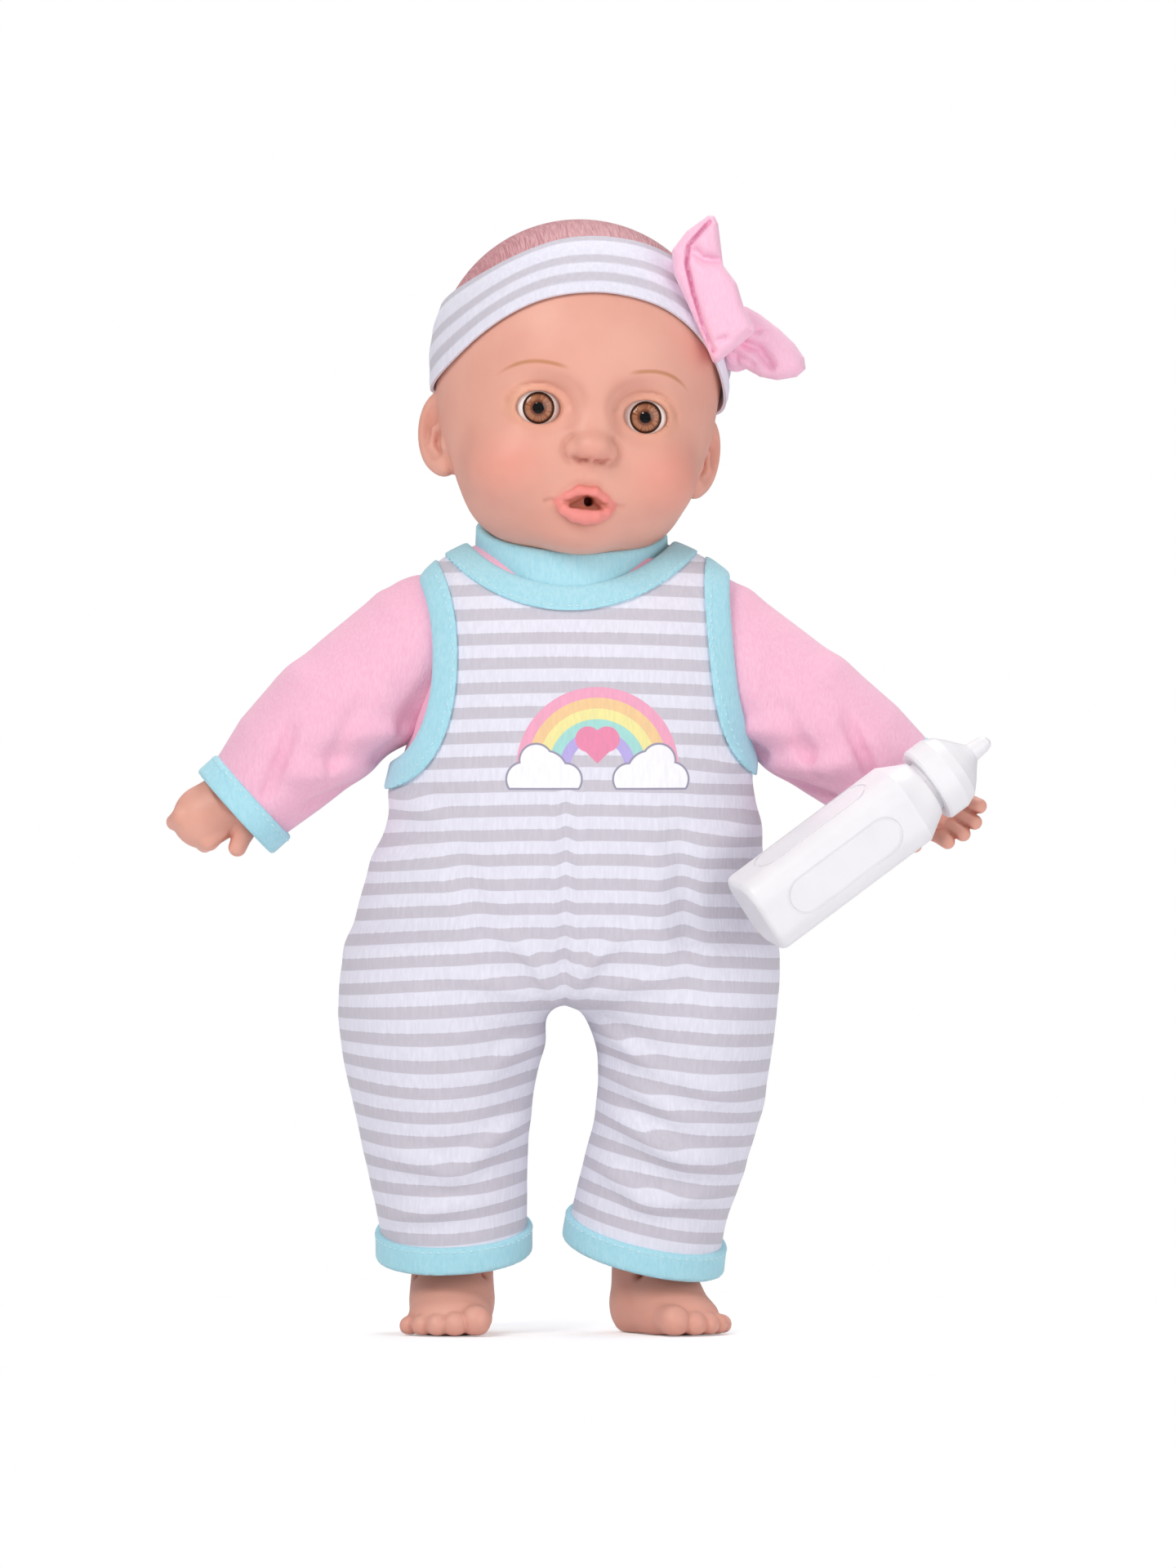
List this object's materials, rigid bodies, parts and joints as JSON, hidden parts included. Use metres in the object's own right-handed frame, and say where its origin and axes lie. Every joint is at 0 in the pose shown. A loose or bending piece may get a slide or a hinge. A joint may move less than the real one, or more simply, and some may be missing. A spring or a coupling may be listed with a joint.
{
  "type": "interactive baby doll",
  "caption": "Soft-bodied baby doll with vinyl head and limbs, swinging arms and legs, tummy button, mouth switch, striped romper, bow headband and toy bottle.",
  "frame": {"origin": "sole level under the middle of the whole doll's outline", "axes": "+Z from the soles to the crown, the doll faces -Y, its left side is +X"},
  "size_m": [0.2602, 0.1078, 0.356],
  "materials": {
    "knit_romper": "ribbed knit",
    "knit_pink": "jersey",
    "knit_cyan": "rib binding",
    "headband_knit": "striped knit",
    "bow_satin": "satin",
    "stuffed_cloth": "woven",
    "closure_tape": "hook and loop",
    "vinyl": "soft vinyl",
    "eye_white": "polished",
    "eye_brown": "printed",
    "eye_clear": "clear",
    "case_plastic": "moulded",
    "black_plastic": "moulded",
    "steel": "plated",
    "cell_jacket": "printed sleeve",
    "board_green": "solder mask",
    "speaker_paper": "pressed",
    "tie_nylon": "nylon",
    "lead_jacket": "flexible",
    "bottle_plastic": "blow moulded"
  },
  "bodies": {
    "torso": {"stuffed_torso": "stuffed_cloth", "shirt_body": "knit_pink", "shirt_collar": "knit_cyan", "romper_body": "knit_romper", "romper_neck_binding": "knit_cyan", "armhole_binding_left": "knit_cyan", "armhole_binding_right": "knit_cyan", "back_closure_hook": "closure_tape", "back_closure_loop": "closure_tape", "sound_case_front": "case_plastic", "sound_case_back": "case_plastic", "case_screws": "steel", "battery_cells": "cell_jacket", "battery_contacts": "steel", "circuit_board": "board_green", "speaker_frame": "steel", "speaker_cone": "speaker_paper", "power_switch_body": "steel", "belly_button_spring": "steel", "mouth_switch_lead": "lead_jacket"},
    "neck": {"neck_sleeve": "stuffed_cloth", "neck_cable_tie": "tie_nylon"},
    "head": {"head_shell": "vinyl", "eye_white_left": "eye_white", "eye_white_right": "eye_white", "eye_iris_left": "eye_brown", "eye_iris_right": "eye_brown", "eye_lenses": "eye_clear", "mouth_switch_body": "case_plastic"},
    "mouth_plunger": {"mouth_switch_plunger": "case_plastic"},
    "headband": {"headband": "headband_knit", "bow_knot": "bow_satin", "bow_loop_front": "bow_satin", "bow_loop_back": "bow_satin"},
    "belly_button": {"belly_button": "case_plastic"},
    "power_knob": {"power_switch_knob": "black_plastic"},
    "battery_door": {"battery_lid": "case_plastic", "battery_lid_screw": "steel"},
    "bottle": {"bottle_body": "bottle_plastic", "bottle_cap": "bottle_plastic"},
    "arm_left": {"upper_arm_left": "stuffed_cloth", "sleeve_left": "knit_pink", "sleeve_cuff_left": "knit_cyan", "arm_cable_tie_left": "tie_nylon"},
    "hand_left": {"forearm_left": "vinyl"},
    "leg_left": {"thigh_left": "stuffed_cloth", "romper_leg_left": "knit_romper", "leg_cuff_left": "knit_cyan", "leg_cable_tie_left": "tie_nylon"},
    "foot_left": {"lower_leg_left": "vinyl"},
    "arm_right": {"upper_arm_right": "stuffed_cloth", "sleeve_right": "knit_pink", "sleeve_cuff_right": "knit_cyan", "arm_cable_tie_right": "tie_nylon"},
    "hand_right": {"forearm_right": "vinyl"},
    "leg_right": {"thigh_right": "stuffed_cloth", "romper_leg_right": "knit_romper", "leg_cuff_right": "knit_cyan", "leg_cable_tie_right": "tie_nylon"},
    "foot_right": {"lower_leg_right": "vinyl"}
  },
  "joints": [
    {"name": "head_nod", "type": "hinge", "parent": "torso", "child": "neck", "pos_m": [-0.00286, 0.00787, 0.238], "axis": [1, 0, 0], "range_deg": [-14, 3]},
    {"name": "head_turn", "type": "hinge", "parent": "neck", "child": "head", "pos_m": [-0.00286, 0.00787, 0.238], "axis": [0, 0, 1], "range_deg": [-60, 60]},
    {"name": "mouth_press", "type": "slide", "parent": "head", "child": "mouth_plunger", "axis": [-0.1392, 0.9903, 0], "range_m": [0, 0.002], "stiffness_N_per_m": 150},
    {"name": "headband_lift", "type": "slide", "parent": "head", "child": "headband", "axis": [-0.0177, 0.6192, 0.785], "range_m": [0, 0.09]},
    {"name": "belly_press", "type": "slide", "parent": "torso", "child": "belly_button", "axis": [0, 1, 0], "range_m": [0, 0.0025], "stiffness_N_per_m": 500, "deforming": ["belly_button_spring"]},
    {"name": "power_slide", "type": "slide", "parent": "torso", "child": "power_knob", "axis": [0, 0, 1], "range_m": [0, 0.003]},
    {"name": "battery_lid_lift", "type": "slide", "parent": "torso", "child": "battery_door", "axis": [0, 1, 0], "range_m": [0, 0.004]},
    {"name": "bottle_pull", "type": "slide", "parent": "hand_left", "child": "bottle", "axis": [0, -1, 0], "range_m": [0, 0.08]},
    {"name": "arm_swing_left", "type": "hinge", "parent": "torso", "child": "arm_left", "pos_m": [0.03914, 0.00487, 0.222], "axis": [-1, 0, 0], "range_deg": [-3, 75]},
    {"name": "hand_twist_left", "type": "hinge", "parent": "arm_left", "child": "hand_left", "pos_m": [0.03914, 0.00487, 0.222], "axis": [0.788, 0, -0.6157], "range_deg": [-35, 0]},
    {"name": "leg_swing_left", "type": "hinge", "parent": "torso", "child": "leg_left", "pos_m": [0.03164, 0.00487, 0.09], "axis": [-1, 0, 0], "range_deg": [-30, 90]},
    {"name": "foot_twist_left", "type": "hinge", "parent": "leg_left", "child": "foot_left", "pos_m": [0.02214, 0.00487, 0], "axis": [0, 0, 1], "range_deg": [-25, 25]},
    {"name": "arm_swing_right", "type": "hinge", "parent": "torso", "child": "arm_right", "pos_m": [-0.04886, 0.00487, 0.222], "axis": [-1, 0, 0], "range_deg": [-45, 75]},
    {"name": "hand_twist_right", "type": "hinge", "parent": "arm_right", "child": "hand_right", "pos_m": [-0.04886, 0.00487, 0.222], "axis": [-0.7431, 0, -0.6691], "range_deg": [-40, 40]},
    {"name": "leg_swing_right", "type": "hinge", "parent": "torso", "child": "leg_right", "pos_m": [-0.04136, 0.00487, 0.09], "axis": [-1, 0, 0], "range_deg": [-30, 90]},
    {"name": "foot_twist_right", "type": "hinge", "parent": "leg_right", "child": "foot_right", "pos_m": [-0.04136, 0.00487, 0], "axis": [0, 0, 1], "range_deg": [-25, 25]}
  ]
}
